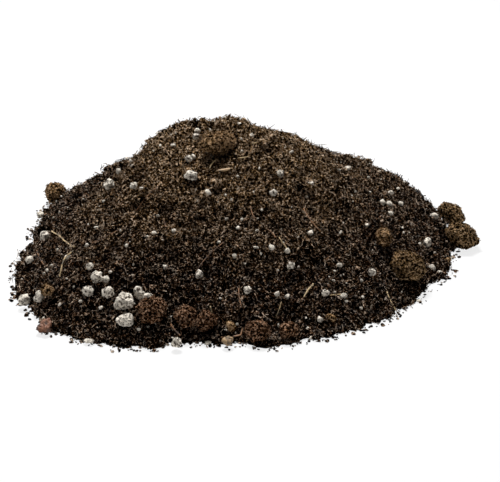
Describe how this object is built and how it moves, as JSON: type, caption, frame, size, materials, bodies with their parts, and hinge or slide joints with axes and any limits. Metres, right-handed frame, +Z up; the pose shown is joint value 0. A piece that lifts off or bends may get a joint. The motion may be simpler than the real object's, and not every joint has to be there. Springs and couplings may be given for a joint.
{
  "type": "potting compost heap",
  "caption": "Free-standing heap of potting compost: dark peat fibre with clods, perlite granules, straws and bark seated in it.",
  "frame": {"origin": "on the table under the heap's crown, on the flat underside of the mass", "axes": "+Z up; the front of the heap, the side that the picture shows, faces -Y; +X is to the right seen from the front"},
  "size_m": [0.1777, 0.1655, 0.0514],
  "materials": {
    "peat": "dark moist peat fibre, matt",
    "red_peat": "reddish pressed peat, matt and fibrous",
    "olive_peat": "olive-brown pressed peat, matt and fibrous",
    "golden_peat": "golden-brown fibrous peat, matt",
    "perlite": "pale grey expanded granule, matt and pitted",
    "straw": "dry pale straw, slight sheen",
    "root": "thin brown root, matt",
    "bark": "reddish-brown bark, rough",
    "husk": "pale golden husk, slight sheen"
  },
  "bodies": {
    "root": {"compost_mass": "peat", "clod_crown": "golden_peat", "clod_front_large": "red_peat", "clod_front_left": "red_peat", "clod_front_middle": "red_peat", "clod_front_low": "red_peat", "clod_front_right": "red_peat", "clod_right_low": "olive_peat", "clod_right_ridge": "golden_peat", "clod_right_tip": "olive_peat", "clod_right_back": "olive_peat", "clod_left_back": "golden_peat", "clod_left_small": "golden_peat", "perlite_front_oval": "perlite", "perlite_front_upper": "perlite", "perlite_front_double": "perlite", "perlite_front_low": "perlite", "perlite_ring_left": "perlite", "perlite_ring_top": "perlite", "perlite_ring_low": "perlite", "perlite_ring_right": "perlite", "perlite_left_single": "perlite", "perlite_left_high": "perlite", "perlite_left_shoulder": "perlite", "perlite_crown_large": "perlite", "perlite_crown_low": "perlite", "perlite_crown_high": "perlite", "perlite_ridge_large": "perlite", "perlite_ridge_low": "perlite", "perlite_middle": "perlite", "perlite_right_face": "perlite", "perlite_front_white": "perlite", "perlite_front_right": "perlite", "perlite_right_low": "perlite", "perlite_right_edge": "perlite", "perlite_foot_grey": "perlite", "perlite_left_edge": "perlite", "perlite_left_foot": "perlite", "perlite_left_toe": "perlite", "perlite_left_grey": "perlite", "perlite_left_back": "perlite", "perlite_back_left": "perlite", "perlite_back_middle": "perlite", "perlite_back_right": "perlite", "perlite_back_foot": "perlite", "bark_chip_left": "bark", "husk_front": "husk", "husk_crown": "husk", "straw_left_upper": "straw", "straw_left_lower": "straw", "straw_right": "straw", "root_front_left": "root", "root_front": "root"}
  },
  "joints": []
}
